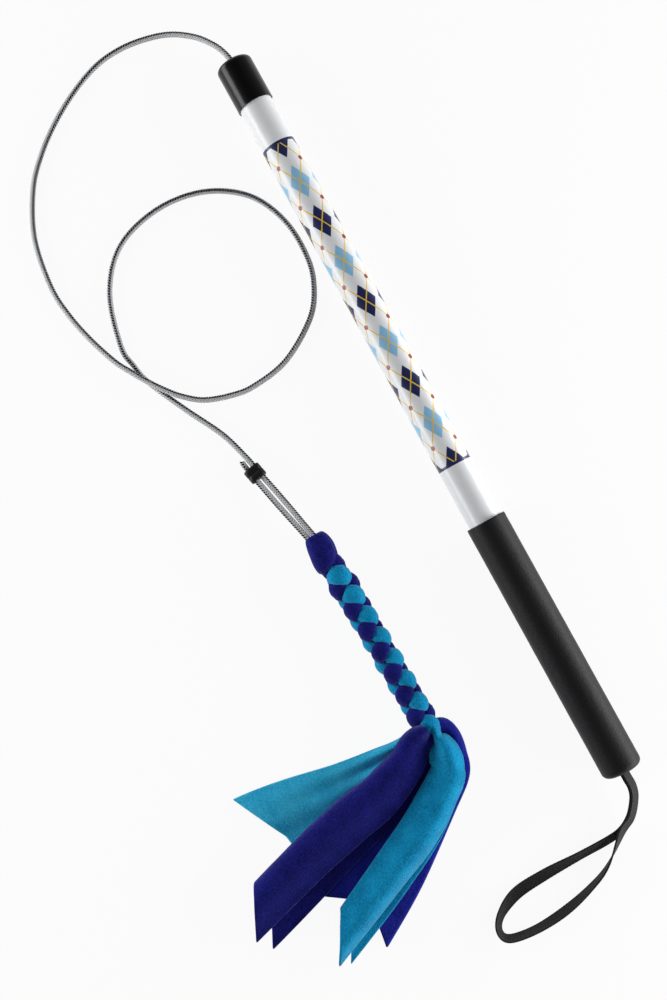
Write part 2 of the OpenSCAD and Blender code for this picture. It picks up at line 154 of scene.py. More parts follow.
# camera, at the photograph's angle, almost straight down
cameraView = {"place": (0.1053, 0.1309, 1.046), "target": (0.17579, 0.09257, -0.01575),
              "imageUp": (0.8787, -0.4774, 0), "lens": 50, "sensor": 36}
look = (Vector(cameraView["target"]) - Vector(cameraView["place"])).normalized()
side = look.cross(Vector(cameraView["imageUp"])).normalized()
lift = side.cross(look)
cameraData = bpy.data.cameras.new("camera")
cameraData.lens = cameraView["lens"]
cameraData.sensor_fit = "VERTICAL"
cameraData.sensor_height = cameraView["sensor"]
camera = newObject("camera", cameraData)
camera.matrix_world = Matrix((
    (side.x, lift.x, -look.x, cameraView["place"][0]), (side.y, lift.y, -look.y, cameraView["place"][1]),
    (side.z, lift.z, -look.z, cameraView["place"][2]), (0, 0, 0, 1)))
scene.camera = camera
print("camera set")

# elastic cord: out of the cap, round its coil, through the clamp, round the lure's bight and back
cordSize = {"diameter": 4.4, "ringStep": 1.4, "ringSides": 14, "dashPitch": 2.1, "dashLength": 2.8,
            "dashWidth": 1.3, "dashProud": 0.36, "dashSlant": 52, "insideCap": (11, 6, 0), "straightOut": 3,
            "routeSteps": 6, "strandSteps": 50, "strandSmooth": 7, "bendStep": 12, "stub": 7.5,
            "stubAside": 0.5}
capEnd = 509.7
bight = np.array([154, 120.5, -3.95])
clampDrop, loopLength, loopTurn = 6.9, 70, math.radians(192.5)
loopDip = -math.asin(clampDrop / loopLength)
loopDir = np.array([math.cos(loopDip) * math.cos(loopTurn), math.cos(loopDip) * math.sin(loopTurn),
                    -math.sin(loopDip)])
loopSide = np.array([-math.sin(loopTurn), math.cos(loopTurn), 0])
cordRoute = [
    (517, 0.8, -0.4), (523, 2.5, -1), (531, 6, -2.6), (544, 14.5, -6.4), (557, 29.5, -10.8),
    (564, 47, -13), (567, 69, -13.5), (564.5, 92, -13.5), (554.5, 117, -13.5), (539.5, 142, -13.5),
    (521.5, 164, -13.5), (500, 182.5, -13.5), (465, 199.5, -13.5), (425.5, 206, -13.5),
    (398.5, 204, -13.3), (373, 198, -12.6), (349, 189.5, -10.6), (337, 183, -9.2), (323, 174.5, -8.6),
    (310.5, 165.5, -8.8), (300.5, 156.5, -10.2), (290.5, 143, -12.2), (284, 123, -13.5),
    (282, 104.5, -13.5), (287.5, 74, -13.5), (306.5, 43, -13.5), (326, 28, -13.5), (350, 20.5, -13.5),
    (384.5, 22, -13.5), (415.5, 37, -13.5), (435.5, 67.5, -13.5), (440, 106, -13.5), (428, 144, -13.5),
    (399, 168.5, -13.5), (358.5, 180, -13.5), (340.5, 178.5, -13.5), (323.5, 174.5, -13.5),
    (291.5, 159.5, -13.5), (260.5, 143.5, -13)]
# place along the loop, and how far each of its two strands lies from its middle line
strandGap = [(-75.5, 2.75), (-70, 2.7), (-60, 2.75), (-45, 2.85), (-30, 2.7), (-16, 2.35), (-8, 2.3),
             (-2.3, 2.3)]


def loopPoint(x, y):
    return bight + loopDir * x + loopSide * y


def strandPoints(sideSign):
    xs = np.linspace(strandGap[0][0], strandGap[-1][0], cordSize["strandSteps"])
    ys = np.interp(xs, *zip(*strandGap))
    near = cordSize["strandSmooth"]  # points that each one is averaged over
    ys = np.convolve(np.pad(ys, near // 2, mode="edge"), np.ones(near) / near, mode="valid")
    return [loopPoint(x, sideSign * y) for x, y in zip(xs, ys)]


cordIn = loopPoint(strandGap[0][0], strandGap[0][1])
freeRun = smoothThrough([(capEnd + cordSize["straightOut"], 0, 0)] + cordRoute
                        + [cordIn - loopDir * 2 * cordSize["diameter"], cordIn], cordSize["routeSteps"])
bendRadius = strandGap[-1][1]
bend = [loopPoint(-bendRadius + bendRadius * math.sin(a), bendRadius * math.cos(a))
        for a in np.radians(np.arange(cordSize["bendStep"], 180, cordSize["bendStep"]))]
back = strandPoints(-1)[::-1]
cordPoints = np.array([(capEnd - depth, 0, 0) for depth in cordSize["insideCap"]] + list(freeRun[:-1])
                      + strandPoints(1) + bend + back
                      + [back[-1] - loopDir * cordSize["stub"] + loopSide * cordSize["stubAside"]])
cordRun = runLengths(cordPoints)
# mm along the cord, and the tracer's place round it in degrees from its right side over its top to its left
tracerTurns = [(0, 55), (60, 60), (110, 80), (180, 125), (600, 125), (680, 95), (760, 85), (940, 90),
               (980, 125), (1034, 130), (1056, 140), (1190, 140), (1202, 100)]
cordTilts = -np.radians(np.interp(cordRun, *zip(*tracerTurns)))


def pathCurve(name, points, tilts, cyclic=False):
    data = bpy.data.curves.new(name, "CURVE")
    data.dimensions = "3D"
    data.twist_mode = "Z_UP"
    spline = data.splines.new("POLY")
    spline.points.add(len(points) - 1)
    for place, at, tilt in zip(spline.points, points, tilts):
        place.co = (*(np.asarray(at) * mm), 1)
        place.tilt = tilt
    spline.use_cyclic_u = cyclic
    return newObject(name, data)


def socketsOf(tree, inputs):  # named inputs of a tree, with one geometry in and one out
    tree.interface.new_socket("Geometry", in_out="OUTPUT", socket_type="NodeSocketGeometry")
    tree.interface.new_socket("Geometry", in_out="INPUT", socket_type="NodeSocketGeometry")
    return {name: tree.interface.new_socket(name, in_out="INPUT", socket_type=kind).identifier
            for name, kind in inputs}


cordTree = bpy.data.node_groups.new("tracedCord", "GeometryNodeTree")
cordSockets = socketsOf(cordTree, [
    ("Radius", "NodeSocketFloat"), ("Ring Step", "NodeSocketFloat"), ("Dash Pitch", "NodeSocketFloat"),
    ("Dash Size", "NodeSocketVector"), ("Dash Slant", "NodeSocketFloat"), ("Sheath", "NodeSocketMaterial"),
    ("Tracer", "NodeSocketMaterial")])
given = addNode(cordTree, "NodeGroupInput").outputs
spine = addNode(cordTree, "GeometryNodeResampleCurve",
                {"Curve": given["Geometry"], "Length": given["Ring Step"]}, mode="LENGTH").outputs["Curve"]
spine = addNode(cordTree, "GeometryNodeStoreNamedAttribute", {
    "Geometry": spine, "Value": addNode(cordTree, "GeometryNodeSplineParameter").outputs["Length"]},
    {"Name": "alongCord"}, data_type="FLOAT", domain="POINT").outputs["Geometry"]
circle = addNode(cordTree, "GeometryNodeCurvePrimitiveCircle", {"Radius": given["Radius"]},
                 {"Resolution": cordSize["ringSides"]})
circle = addNode(cordTree, "GeometryNodeStoreNamedAttribute", {
    "Geometry": circle.outputs["Curve"], "Value": addNode(cordTree, "GeometryNodeInputPosition").outputs[0]},
    {"Name": "roundCord"}, data_type="FLOAT_VECTOR", domain="POINT").outputs["Geometry"]
sheathMesh = addNode(cordTree, "GeometryNodeCurveToMesh", {"Curve": spine, "Profile Curve": circle},
                     {"Fill Caps": True}).outputs["Mesh"]
sheathMesh = addNode(cordTree, "GeometryNodeSetMaterial",
                     {"Geometry": sheathMesh, "Material": given["Sheath"]})
beads = addNode(cordTree, "GeometryNodeCurveToPoints",
                {"Curve": given["Geometry"], "Length": given["Dash Pitch"]}, mode="LENGTH").outputs
outward = addNode(cordTree, "ShaderNodeVectorMath", {0: beads["Normal"], "Scale": given["Radius"]},
                  operation="SCALE").outputs[0]
beadPoints = addNode(cordTree, "GeometryNodeSetPosition", {"Geometry": beads["Points"], "Offset": outward})
slant = addNode(cordTree, "ShaderNodeCombineXYZ", {"X": given["Dash Slant"]}).outputs[0]
slant = addNode(cordTree, "FunctionNodeEulerToRotation", {"Euler": slant}).outputs[0]
slant = addNode(cordTree, "FunctionNodeRotateRotation", {"Rotation": beads["Rotation"], "Rotate By": slant},
                rotation_space="LOCAL").outputs[0]
dash = addNode(cordTree, "GeometryNodeMeshUVSphere", None, {"Segments": 8, "Rings": 4, "Radius": 0.5})
dashes = addNode(cordTree, "GeometryNodeInstanceOnPoints", {
    "Points": beadPoints.outputs[0], "Instance": dash.outputs["Mesh"], "Rotation": slant,
    "Scale": given["Dash Size"]}).outputs[0]
dashes = addNode(cordTree, "GeometryNodeRealizeInstances", {"Geometry": dashes}).outputs[0]
dashes = addNode(cordTree, "GeometryNodeSetMaterial", {"Geometry": dashes, "Material": given["Tracer"]})
whole = addNode(cordTree, "GeometryNodeJoinGeometry", {"Geometry": sheathMesh.outputs[0]})
cordTree.links.new(dashes.outputs[0], whole.inputs[0])
whole = addNode(cordTree, "GeometryNodeSetShadeSmooth", {"Geometry": whole.outputs[0]}).outputs[0]
addNode(cordTree, "NodeGroupOutput", {"Geometry": whole})

# polyester sheath braided round rubber: pale, matt, with fine crossing plaits, and painted shade that greys
# the valleys between them
sheath, tree, shader = newMaterial("braidedPolyesterSheath", {
    "Roughness": 0.62, "Sheen Weight": 0.25, "Sheen Roughness": 0.5, "IOR": 1.5})
plaits = 5  # plaits each way round the cord, as coarse as the tracer so that they show
along = addNode(tree, "ShaderNodeAttribute", attribute_name="alongCord").outputs["Fac"]
around = addNode(tree, "ShaderNodeAttribute", attribute_name="roundCord").outputs["Vector"]
around = addNode(tree, "ShaderNodeSeparateXYZ", {0: around}).outputs
angle = addNode(tree, "ShaderNodeMath", {0: around[1], 1: around[0]}, operation="ARCTAN2").outputs[0]
spun = addNode(tree, "ShaderNodeMath", {0: angle}, {1: plaits}, operation="MULTIPLY").outputs[0]
twist = addNode(tree, "ShaderNodeMath", {0: along}, {1: 2 * math.pi / (cordSize["dashPitch"] * mm)},
                operation="MULTIPLY").outputs[0]
waves = []
for operation in ("ADD", "SUBTRACT"):
    lean = addNode(tree, "ShaderNodeMath", {0: spun, 1: twist}, operation=operation).outputs[0]
    waves.append(addNode(tree, "ShaderNodeMath", {0: lean}, operation="SINE").outputs[0])
plait = addNode(tree, "ShaderNodeMath", {0: waves[0], 1: waves[1]}, operation="MAXIMUM").outputs[0]
# painted shade: the plaits' valleys are coloured grey and their crests pale
tint = addNode(tree, "ShaderNodeMapRange", {"Value": plait}, {"From Min": -0.6, "From Max": 0.9}).outputs[0]
tint = addNode(tree, "ShaderNodeMix", {"Factor": tint}, {6: linear("#85868a"), 7: linear("#d2d3d5")},
               data_type="RGBA").outputs[2]
bump = addNode(tree, "ShaderNodeBump", {"Height": plait}, {"Strength": 0.5, "Distance": 0.18 * mm}).outputs[0]
linkInputs(tree, shader, {"Base Color": tint, "Normal": bump})

# black polyester tracer yarn: twisted fibres, dull
tracer, tree, shader = newMaterial("blackTracerYarn", {"Roughness": 0.85, "Specular IOR Level": 0.2})
place = addNode(tree, "ShaderNodeTexCoord").outputs["Object"]
fibre = addNode(tree, "ShaderNodeTexNoise", {"Vector": place}, {"Scale": 1 / (0.6 * mm)}).outputs["Fac"]
tint = addNode(tree, "ShaderNodeMix", {"Factor": fibre}, {6: linear("#08080a"), 7: linear("#1a1a1d")},
               data_type="RGBA").outputs[2]
linkInputs(tree, shader, {"Base Color": tint})


def growCord(name, curve):
    modifier = curve.modifiers.new("tracedCord", "NODES")
    modifier.node_group = cordTree
    for socket, value in {
            "Radius": cordSize["diameter"] / 2 * mm, "Ring Step": cordSize["ringStep"] * mm,
            "Dash Pitch": cordSize["dashPitch"] * mm, "Dash Slant": math.radians(cordSize["dashSlant"]),
            "Dash Size": (cordSize["dashProud"] * 2 * mm, cordSize["dashWidth"] * mm,
                          cordSize["dashLength"] * mm),
            "Sheath": sheath, "Tracer": tracer}.items():
        modifier[cordSockets[socket]] = value
    mesh = bpy.data.meshes.new_from_object(curve.evaluated_get(bpy.context.evaluated_depsgraph_get()))
    bpy.data.objects.remove(curve)
    mesh.name = name
    return newObject(name, mesh)


cord = growCord("elasticCord", pathCurve("cordPath", cordPoints, cordTilts))
dress(cord, None, "cord", ["bungee_cord", "bungee_loop"])
print("cord made:", round(cordRun[-1]), "mm,", len(cord.data.polygons), "faces")

# stopper knot on the washer inside the cap: an overhand knot drawn tight
knotSize = {"middle": (500.2, 0, 0), "radius": 2.1, "swell": 1.35, "squeeze": 0.62, "length": 2.4,
            "points": 90}
knotTurns = np.linspace(0, 2 * math.pi, knotSize["points"], endpoint=False)
knotPoints = [np.array(knotSize["middle"]) + np.array([
    knotSize["length"] * -math.sin(3 * t),
    knotSize["radius"] * (math.sin(t) + knotSize["swell"] * math.sin(2 * t)) * knotSize["squeeze"],
    knotSize["radius"] * (math.cos(t) - knotSize["swell"] * math.cos(2 * t)) * knotSize["squeeze"]])
    for t in knotTurns]
stopper = growCord("cordStopper", pathCurve("knotPath", knotPoints, np.zeros(len(knotPoints)), True))
dress(stopper, None, "cord", ["cord_knot"])

# clamp: a moulded block with rounded edges and a parting line round its middle
clampSize = {"length": 11, "width": 13.8, "height": 8, "corner": 3.3, "edge": 0.9, "edgeMiddle": (0.25, 0.35),
             "endInset": 2.4, "groove": 0.25, "grooveHalf": (0.5, 0.25), "round": 48}


def roundedBlock(halfWidth, halfHeight, corner, count):
    places = []
    for a in np.linspace(0, 2 * math.pi, count, endpoint=False):
        sx, sy = math.copysign(1, math.cos(a)), math.copysign(1, math.sin(a))
        k = 1 / max(abs(math.cos(a)) / halfWidth, abs(math.sin(a)) / halfHeight)
        y, z = k * math.cos(a), k * math.sin(a)
        cy, cz = halfWidth - corner, halfHeight - corner
        if abs(y) > cy and abs(z) > cz:
            turn = math.atan2(abs(z) - cz, abs(y) - cy)
            y, z = sx * (cy + corner * math.cos(turn)), sy * (cz + corner * math.sin(turn))
        places.append((y, z))
    return places


half = clampSize["length"] / 2
edgeAlong, edgeIn = clampSize["edgeMiddle"]
grooveTop, grooveFloor = clampSize["grooveHalf"]
clampRows = [(-half, clampSize["endInset"]), (-half, clampSize["edge"]), (-half + edgeAlong, edgeIn),
             (-half + clampSize["edge"], 0), (-grooveTop, 0), (-grooveFloor, clampSize["groove"])]
clampRows += [(-x, inset) for x, inset in clampRows[::-1]]
loopUp = np.cross(loopDir, loopSide)
clamp = skinRows("loopClamp", [
    [loopPoint(-loopLength + x, 0) + loopSide * y + loopUp * z
     for y, z in roundedBlock(clampSize["width"] / 2 - inset, clampSize["height"] / 2 - inset,
                              clampSize["corner"] - inset, clampSize["round"])]
    for x, inset in clampRows], caps=(True, True))
# nylon, injection moulded with a fine spark-eroded texture: near black, satin, paler where edges rub
nylon, tree, shader = newMaterial("mouldedBlackNylon", {"IOR": 1.53, "Specular IOR Level": 0.25})
place = addNode(tree, "ShaderNodeTexCoord").outputs["Object"]
grit = addNode(tree, "ShaderNodeTexNoise", {"Vector": place},
               {"Scale": 1 / (0.45 * mm), "Detail": 3}).outputs["Fac"]
edge = addNode(tree, "ShaderNodeNewGeometry").outputs["Pointiness"]
edge = addNode(tree, "ShaderNodeMapRange", {"Value": edge}, {"From Min": 0.5, "From Max": 0.6}).outputs[0]
edge = addNode(tree, "ShaderNodeMath", {0: edge, 1: grit}, operation="MULTIPLY").outputs[0]
tint = addNode(tree, "ShaderNodeMix", {"Factor": edge}, {6: linear("#08080a"), 7: linear("#2e2e31")},
               data_type="RGBA").outputs[2]
rough = addNode(tree, "ShaderNodeMapRange", {"Value": grit}, {"To Min": 0.38, "To Max": 0.55}).outputs[0]
bump = addNode(tree, "ShaderNodeBump", {"Height": grit}, {"Strength": 0.25, "Distance": 0.1 * mm}).outputs[0]
linkInputs(tree, shader, {"Base Color": tint, "Roughness": rough, "Normal": bump})
dress(clamp, nylon, "cord", ["loop_clamp"])
print("knot and clamp made")

# floor, light and background
stageLight = {"zenith": 0.06, "horizon": 0.5, "sides": 12.6, "rightShare": 1.2, "leftShare": 0.78,
              "sideSize": (1.4, 0.45), "sideAway": 0.95, "sideUp": 0.2, "sideTurn": 28, "aim": (0.17, 0.09),
              "floorHalf": 4, "floorGlow": 0.93}
floorHalf = stageLight["floorHalf"]
floorCorners = [(x * floorHalf, y * floorHalf, floorZ * mm) for x, y in ((-1, -1), (1, -1), (1, 1), (-1, 1))]
floorMesh = bpy.data.meshes.new("floor")
floorMesh.from_pydata(floorCorners, [], [(0, 1, 2, 3)])
floor = newObject("floor", floorMesh)
# white paper sweep: it reads white to the eye and still takes a faint shadow
paper, tree, shader = newMaterial("whitePaperSweep", {"Base Color": linear("#f4f4f4"), "Roughness": 0.9})
rays = addNode(tree, "ShaderNodeLightPath").outputs
seen = rays["Is Camera Ray"]
for kind in ("Is Glossy Ray", "Is Transmission Ray"):
    seen = addNode(tree, "ShaderNodeMath", {0: seen, 1: rays[kind]}, operation="MAXIMUM").outputs[0]
seen = addNode(tree, "ShaderNodeMath", {0: seen}, {1: stageLight["floorGlow"]},
               operation="MULTIPLY").outputs[0]
glow = addNode(tree, "ShaderNodeEmission", None, {"Color": (1, 1, 1, 1), "Strength": 1})
mixed = addNode(tree, "ShaderNodeMixShader", {0: seen, 1: shader.outputs[0], 2: glow.outputs[0]})
tree.links.new(mixed.outputs[0], tree.nodes["Material Output"].inputs["Surface"])
coat(floor, paper)
# the sky is white to the camera, and lights the object softly from low down
world = bpy.data.worlds.new("studio")
scene.world = world
world.use_nodes = True
tree = world.node_tree
backdrop = tree.nodes["Background"]
rays = addNode(tree, "ShaderNodeLightPath").outputs
seen = addNode(tree, "ShaderNodeMath", {0: rays["Is Camera Ray"], 1: rays["Is Transmission Ray"]},
               operation="MAXIMUM").outputs[0]
ray = addNode(tree, "ShaderNodeTexCoord").outputs["Generated"]
height = addNode(tree, "ShaderNodeSeparateXYZ", {0: ray}).outputs[2]
sky = addNode(tree, "ShaderNodeMapRange", {"Value": height},
              {"To Min": stageLight["horizon"], "To Max": stageLight["zenith"]}).outputs[0]
level = addNode(tree, "ShaderNodeMapRange", {"Value": seen, "To Min": sky}, {"To Max": 1})
tree.links.new(level.outputs[0], backdrop.inputs["Strength"])
backdrop.inputs["Color"].default_value = linear("#f6f7fa")
sideTurn = math.radians(stageLight["sideTurn"])  # the lamps stand left and right of the picture
aim = Vector((*stageLight["aim"], 0))
for name, sideSign, share in (("lampRight", -1, "rightShare"), ("lampLeft", 1, "leftShare")):
    lampData = bpy.data.lights.new(name, "AREA")
    lampData.shape = "RECTANGLE"
    lampData.size, lampData.size_y = stageLight["sideSize"]
    lampData.energy = stageLight["sides"] * stageLight[share]
    lamp = newObject(name, lampData)
    sideWay = Vector((math.sin(sideTurn), math.cos(sideTurn), 0)) * sideSign
    lamp.location = aim + sideWay * stageLight["sideAway"] + Vector((0, 0, stageLight["sideUp"]))
    lamp.rotation_euler = (aim - lamp.location).to_track_quat("-Z", "Y").to_euler()
scene.view_settings.view_transform = "Standard"
print("stage lit")

# tube: extruded PVC with a printed band of argyle diamonds
tubePrint = {"from": 155, "to": 434, "cells": 8, "cellsRound": 4, "radius": 13.35, "diamond": 0.8,
             "line": 0.05, "dot": 1.9, "edge": 1.1, "white": "#eff0f1", "scuffed": "#e6e7e9",
             "navy": "#1d2456", "sky": "#8fc4e6", "yellow": "#ecc53a", "red": "#8e2430"}
# rigid PVC, extruded and screen printed: glossy white with soft reflections and faint scuffs
pvc, tree, shader = newMaterial("printedWhitePvc", {"IOR": 1.53, "Coat Weight": 0.15, "Coat Roughness": 0.2})
place = addNode(tree, "ShaderNodeTexCoord").outputs["Object"]
axes = addNode(tree, "ShaderNodeSeparateXYZ", {0: place}).outputs
cell = (tubePrint["to"] - tubePrint["from"]) / tubePrint["cells"]
run = addNode(tree, "ShaderNodeMath", {0: axes[0]}, {1: 1 / mm, 2: -tubePrint["from"]},
              operation="MULTIPLY_ADD").outputs[0]
angle = addNode(tree, "ShaderNodeMath", {0: axes[1], 1: axes[2]}, operation="ARCTAN2").outputs[0]
zigs = []  # along the tube and round it, from 0 to 1 and back in each cell
for way, size in ((run, cell / 2), (angle, math.pi / tubePrint["cellsRound"])):
    zig = addNode(tree, "ShaderNodeMath", {0: way}, {1: size}, operation="PINGPONG").outputs[0]
    zigs.append(addNode(tree, "ShaderNodeMath", {0: zig}, {1: size}, operation="DIVIDE").outputs[0])
both = addNode(tree, "ShaderNodeMath", {0: zigs[0], 1: zigs[1]}, operation="ADD").outputs[0]
diamond = addNode(tree, "ShaderNodeMath", {0: both}, {1: tubePrint["diamond"]},
                  operation="LESS_THAN").outputs[0]
apart = addNode(tree, "ShaderNodeMath", {0: zigs[0], 1: zigs[1]}, operation="SUBTRACT").outputs[0]
line = addNode(tree, "ShaderNodeMath", {0: apart}, {1: 0, 2: tubePrint["line"]},
               operation="COMPARE").outputs[0]
roundMm = math.pi * tubePrint["radius"] / tubePrint["cellsRound"]
offs = []  # mm from the nearest crossing of the lines
for zig, size in zip(zigs, (cell / 2, roundMm)):
    off = addNode(tree, "ShaderNodeMath", {0: zig}, {1: -size, 2: size}, operation="MULTIPLY_ADD")
    offs.append(off.outputs[0])
away = addNode(tree, "ShaderNodeCombineXYZ", {0: offs[0], 1: offs[1]}).outputs[0]
away = addNode(tree, "ShaderNodeVectorMath", {0: away}, operation="LENGTH").outputs["Value"]
dot = addNode(tree, "ShaderNodeMath", {0: away}, {1: tubePrint["dot"]}, operation="LESS_THAN").outputs[0]
middle = (tubePrint["to"] - tubePrint["from"]) / 2
band = addNode(tree, "ShaderNodeMath", {0: run}, {1: middle, 2: middle}, operation="COMPARE").outputs[0]
column = addNode(tree, "ShaderNodeMath", {0: run}, {1: cell}, operation="DIVIDE").outputs[0]
column = addNode(tree, "ShaderNodeMath", {0: column}, operation="ROUND").outputs[0]
column = addNode(tree, "ShaderNodeMath", {0: column}, {1: 2}, operation="FLOORED_MODULO").outputs[0]
scuff = addNode(tree, "ShaderNodeTexNoise", {"Vector": place},
                {"Scale": 1 / (9 * mm), "Detail": 6}).outputs["Fac"]
white = addNode(tree, "ShaderNodeMix", {"Factor": scuff},
                {6: linear(tubePrint["white"]), 7: linear(tubePrint["scuffed"])}, data_type="RGBA").outputs[2]
ink = addNode(tree, "ShaderNodeMix", {"Factor": column},
              {6: linear(tubePrint["navy"]), 7: linear(tubePrint["sky"])}, data_type="RGBA").outputs[2]
ink = addNode(tree, "ShaderNodeMix", {"Factor": diamond, 6: white, 7: ink}, data_type="RGBA").outputs[2]
for mark, colour in ((line, "yellow"), (dot, "red")):
    ink = addNode(tree, "ShaderNodeMix", {"Factor": mark, 6: ink}, {7: linear(tubePrint[colour])},
                  data_type="RGBA").outputs[2]
ink = addNode(tree, "ShaderNodeMix", {"Factor": band, 6: white, 7: ink}, data_type="RGBA").outputs[2]
for end in (tubePrint["from"], tubePrint["to"]):
    rim = addNode(tree, "ShaderNodeMath", {0: run}, {1: end - tubePrint["from"], 2: tubePrint["edge"]},
                  operation="COMPARE").outputs[0]
    ink = addNode(tree, "ShaderNodeMix", {"Factor": rim, 6: ink}, {7: linear(tubePrint["navy"])},
                  data_type="RGBA").outputs[2]
rough = addNode(tree, "ShaderNodeMapRange", {"Value": scuff}, {"To Min": 0.24, "To Max": 0.4}).outputs[0]
linkInputs(tree, shader, {"Base Color": ink, "Roughness": rough})

# dipped vinyl: soft gloss black with the faint ripple that a dip leaves
vinyl, tree, shader = newMaterial("dippedBlackVinyl", {
    "IOR": 1.54, "Specular IOR Level": 0.28, "Base Color": linear("#050506")})
place = addNode(tree, "ShaderNodeTexCoord").outputs["Object"]
ripple = addNode(tree, "ShaderNodeTexNoise", {"Vector": place},
                 {"Scale": 1 / (3 * mm), "Detail": 4}).outputs["Fac"]
rough = addNode(tree, "ShaderNodeMapRange", {"Value": ripple}, {"To Min": 0.16, "To Max": 0.28}).outputs[0]
bump = addNode(tree, "ShaderNodeBump", {"Height": ripple},
               {"Strength": 0.12, "Distance": 0.2 * mm}).outputs[0]
linkInputs(tree, shader, {"Roughness": rough, "Normal": bump})

# polypropylene plug: matt grey with faint flow marks
plugGrey, tree, shader = newMaterial("mouldedGreyPolypropylene", {"Roughness": 0.55, "IOR": 1.49})
place = addNode(tree, "ShaderNodeTexCoord").outputs["Object"]
flow = addNode(tree, "ShaderNodeTexNoise", {"Vector": place}, {"Scale": 1 / (4 * mm)}).outputs["Fac"]
tint = addNode(tree, "ShaderNodeMix", {"Factor": flow}, {6: linear("#4a4b4f"), 7: linear("#5c5d61")},
               data_type="RGBA").outputs[2]
linkInputs(tree, shader, {"Base Color": tint})

# zinc plated steel washer: bright metal with a fine cloudy bloom
zinc, tree, shader = newMaterial("zincPlatedSteel", {"Metallic": 1, "Base Color": linear("#c9ccd0")})
place = addNode(tree, "ShaderNodeTexCoord").outputs["Object"]
bloom = addNode(tree, "ShaderNodeTexNoise", {"Vector": place},
                {"Scale": 1 / (1.5 * mm), "Detail": 3}).outputs["Fac"]
rough = addNode(tree, "ShaderNodeMapRange", {"Value": bloom}, {"To Min": 0.22, "To Max": 0.42}).outputs[0]
linkInputs(tree, shader, {"Roughness": rough})

nodeCoats = {"pole_tube": pvc, "tip_cap": vinyl, "butt_plug": plugGrey, "cord_washer": zinc}
for node, material in nodeCoats.items():
    coat(cadNodes[node], material)
print("tube, cap, plug and washer finished")

# foam grip: a turned sleeve with a pebbled skin, a rounded butt and the strap's slot
gripSize = {"butt": -106, "length": 212, "radius": 15.75, "edge": 5, "rim": 0.8, "bore": 13.4, "boreDepth": 3,
            "endRings": (14.4, 13.8), "ringStep": 0.9, "faceFrom": 0.03, "faceRings": 10, "edgeStep": 9,
            "rimStep": 22.5, "round": 132, "slot": (5.5, 1.9), "slotTurn": 130,
            "slotDepths": (2.4, 1.2, 0.5), "pebble": 0.09, "pebbleFine": 0.75, "pebbleBroad": 0.09,
            "broadShare": 0.6, "plainEnd": 0.2, "plainSlot": 7}
turnAt = np.linspace(0, 2 * math.pi, gripSize["round"], endpoint=False)
tilt = math.radians(180 - gripSize["slotTurn"])
slotWide, slotHigh = gripSize["slot"]
slotRow = []
for a in turnAt:
    k = (abs(math.cos(a - tilt) / slotWide) ** 4 + abs(math.sin(a - tilt) / slotHigh) ** 4) ** -0.25
    slotRow.append((k * math.cos(a), k * math.sin(a)))
slotRow = np.array(slotRow)
circleRow = np.stack([np.cos(turnAt), np.sin(turnAt)], 1)


def gripRow(x, flat):
    return np.concatenate([np.full((len(flat), 1), x), flat], 1)


butt, radius, edgeR, rimR = gripSize["butt"], gripSize["radius"], gripSize["edge"], gripSize["rim"]
ringStep, slotLip = gripSize["ringStep"], gripSize["slotDepths"][-1]
# from the slot's wall over the butt's face and its round edge, along the barrel and into the bore
gripRows = [gripRow(butt + depth, slotRow) for depth in gripSize["slotDepths"]]
gripRows += [gripRow(butt + slotLip * (1 - s) ** 3, slotRow * (1 - s) + circleRow * (radius - edgeR) * s)
             for s in np.linspace(gripSize["faceFrom"], 1, gripSize["faceRings"])]
gripRows += [gripRow(butt + edgeR * (1 - math.cos(a)), circleRow * (radius - edgeR + edgeR * math.sin(a)))
             for a in np.radians(np.arange(gripSize["edgeStep"], 91, gripSize["edgeStep"]))]
top = butt + gripSize["length"]
gripRows += [gripRow(x, circleRow * radius)
             for x in np.arange(butt + edgeR + ringStep, top - rimR - ringStep / 3, ringStep)]
gripRows += [gripRow(top - rimR + rimR * math.sin(a), circleRow * (radius - rimR + rimR * math.cos(a)))
             for a in np.radians(np.arange(0, 91, gripSize["rimStep"]))]
gripRows += [gripRow(top, circleRow * r) for r in (*gripSize["endRings"], gripSize["bore"])]
gripRows += [gripRow(top - gripSize["boreDepth"], circleRow * gripSize["bore"])]
grip = skinRows("foamGrip", gripRows)
for vertex, normal in zip(grip.data.vertices, [v.normal.copy() for v in grip.data.vertices]):
    at = vertex.co / mm
    if at.x < top - gripSize["plainEnd"] and at.yz.length > gripSize["plainSlot"]:
        rise = noise.noise(at * gripSize["pebbleFine"])
        rise += gripSize["broadShare"] * noise.noise(at * gripSize["pebbleBroad"])
        vertex.co += normal * rise * gripSize["pebble"] * mm
# nitrile foam: closed cells with a sanded skin, black, dull, with a soft sheen at a low angle
foam, tree, shader = newMaterial("blackNitrileFoam", {
    "IOR": 1.5, "Specular IOR Level": 0.25, "Sheen Weight": 0.04})
place = addNode(tree, "ShaderNodeTexCoord").outputs["Object"]
cells = addNode(tree, "ShaderNodeTexVoronoi", {"Vector": place},
                {"Scale": 1 / (1.0 * mm)}).outputs["Distance"]
grain = addNode(tree, "ShaderNodeTexNoise", {"Vector": place},
                {"Scale": 1 / (0.6 * mm), "Detail": 4}).outputs["Fac"]
skin = addNode(tree, "ShaderNodeMath", {0: cells, 1: grain}, operation="ADD").outputs[0]
tint = addNode(tree, "ShaderNodeMix", {"Factor": grain}, {6: linear("#08080a"), 7: linear("#161618")},
               data_type="RGBA").outputs[2]
rough = addNode(tree, "ShaderNodeMapRange", {"Value": grain}, {"To Min": 0.42, "To Max": 0.66}).outputs[0]
bump = addNode(tree, "ShaderNodeBump", {"Height": skin}, {"Strength": 0.35, "Distance": 0.25 * mm}).outputs[0]
linkInputs(tree, shader, {"Base Color": tint, "Roughness": rough, "Normal": bump})
dress(grip, foam, "pole", ["foam_grip"])
print("grip made:", len(grip.data.polygons), "faces")

